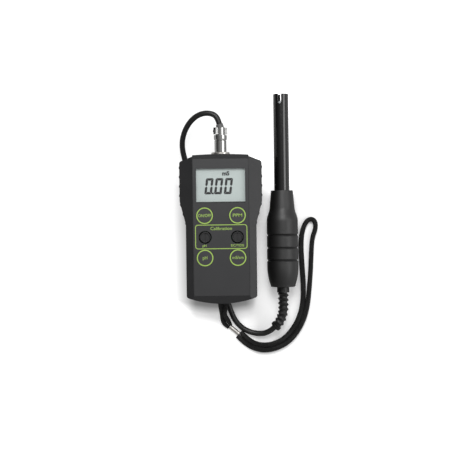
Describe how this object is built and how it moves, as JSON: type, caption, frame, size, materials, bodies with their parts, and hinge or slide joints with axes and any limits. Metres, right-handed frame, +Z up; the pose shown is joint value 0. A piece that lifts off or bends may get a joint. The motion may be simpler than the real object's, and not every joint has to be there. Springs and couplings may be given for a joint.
{
  "type": "ph and conductivity monitor",
  "caption": "Handheld pH and conductivity meter with display window, round keys and calibration trimmers, wired to a tubular probe with a waisted grip, with a coiled cable and a wrist strap.",
  "frame": {"origin": "middle of the underside of the case and the probe together, on the surface they lie on", "axes": "+Y along the case towards its connector end and along the probe towards its tip, +Z up out of the front panel, +X to the right seen from the front"},
  "size_m": [0.1367, 0.2559, 0.0474],
  "materials": {
    "case": "satin",
    "panel": "satin",
    "lens": "clear",
    "display": "satin",
    "inner_plastic": "matte",
    "contact_rubber": "matte",
    "board": "satin",
    "chips": "matte",
    "steel": "satin",
    "switch": "matte",
    "keys": "satin",
    "knobs": "satin",
    "battery": "satin",
    "chrome": "polished",
    "contacts": "polished",
    "sleeve": "matte",
    "cable": "satin",
    "grip": "satin",
    "shaft": "polished",
    "bulb": "clear",
    "junction": "matte",
    "cord": "braided",
    "ferrule": "satin"
  },
  "bodies": {
    "meter": {"front_cover": "case", "rear_cover": "case", "panel_overlay": "panel", "window_lens": "lens", "display_glass": "display", "display_holder": "inner_plastic", "contact_strips": "contact_rubber", "circuit_board": "board", "board_chips": "chips", "board_screws": "steel", "key_switches": "switch", "trimmer_bodies": "switch", "battery": "battery", "battery_snap": "chips", "battery_leads": "chips", "case_screws": "steel", "strap_pin": "steel", "panel_socket": "chrome", "socket_nut": "chrome", "socket_insert": "chips", "socket_pins": "contacts", "plug_shell": "chrome", "plug_insert": "chips", "cable_clamp": "chrome", "clamp_screws": "steel", "cable_sleeve": "sleeve", "cable_upper": "cable", "cable_coil": "cable", "cable_lower": "cable", "strain_relief": "cable", "probe_handle": "grip", "shaft_rings": "contact_rubber", "probe_shaft": "shaft", "electrode_stick": "inner_plastic", "ph_bulb": "bulb", "conductivity_pins": "steel", "temperature_sensor": "steel", "reference_junction": "junction", "probe_board": "board", "lug_cord": "cord", "wrist_cord": "cord", "strap_ferrule": "ferrule"},
    "key_on_off": {"key_on_off": "keys", "plunger_on_off": "switch"},
    "key_ppm": {"key_ppm": "keys", "plunger_ppm": "switch"},
    "key_ph": {"key_ph": "keys", "plunger_ph": "switch"},
    "key_ms": {"key_ms": "keys", "plunger_ms": "switch"},
    "trimmer_ph": {"trimmer_ph": "knobs"},
    "trimmer_ms": {"trimmer_ms": "knobs"},
    "battery_door": {"battery_door": "case"},
    "coupling_ring": {"coupling_ring": "chrome"}
  },
  "joints": [
    {"name": "press_on_off", "type": "slide", "parent": "meter", "child": "key_on_off", "axis": [0, 0, -1], "range_m": [0, 0.0004], "stiffness_N_per_m": 400, "springref_m": -0.001},
    {"name": "press_ppm", "type": "slide", "parent": "meter", "child": "key_ppm", "axis": [0, 0, -1], "range_m": [0, 0.0004], "stiffness_N_per_m": 400, "springref_m": -0.001},
    {"name": "press_ph", "type": "slide", "parent": "meter", "child": "key_ph", "axis": [0, 0, -1], "range_m": [0, 0.0004], "stiffness_N_per_m": 400, "springref_m": -0.001},
    {"name": "press_ms", "type": "slide", "parent": "meter", "child": "key_ms", "axis": [0, 0, -1], "range_m": [0, 0.0004], "stiffness_N_per_m": 400, "springref_m": -0.001},
    {"name": "turn_trimmer_ph", "type": "hinge", "parent": "meter", "child": "trimmer_ph", "pos_m": [-0.03308, -0.03785, 0.0453], "axis": [0, 0, 1], "range_deg": [-140, 140]},
    {"name": "turn_trimmer_ms", "type": "hinge", "parent": "meter", "child": "trimmer_ms", "pos_m": [-0.00187, -0.03785, 0.0453], "axis": [0, 0, 1], "range_deg": [-140, 140]},
    {"name": "slide_battery_door", "type": "slide", "parent": "meter", "child": "battery_door", "axis": [0, -1, 0], "range_m": [0, 0.006]},
    {"name": "turn_coupling_ring", "type": "hinge", "parent": "meter", "child": "coupling_ring", "pos_m": [-0.01717, 0.05065, 0.0328], "axis": [0, 1, 0], "range_deg": [0, 1080]}
  ]
}
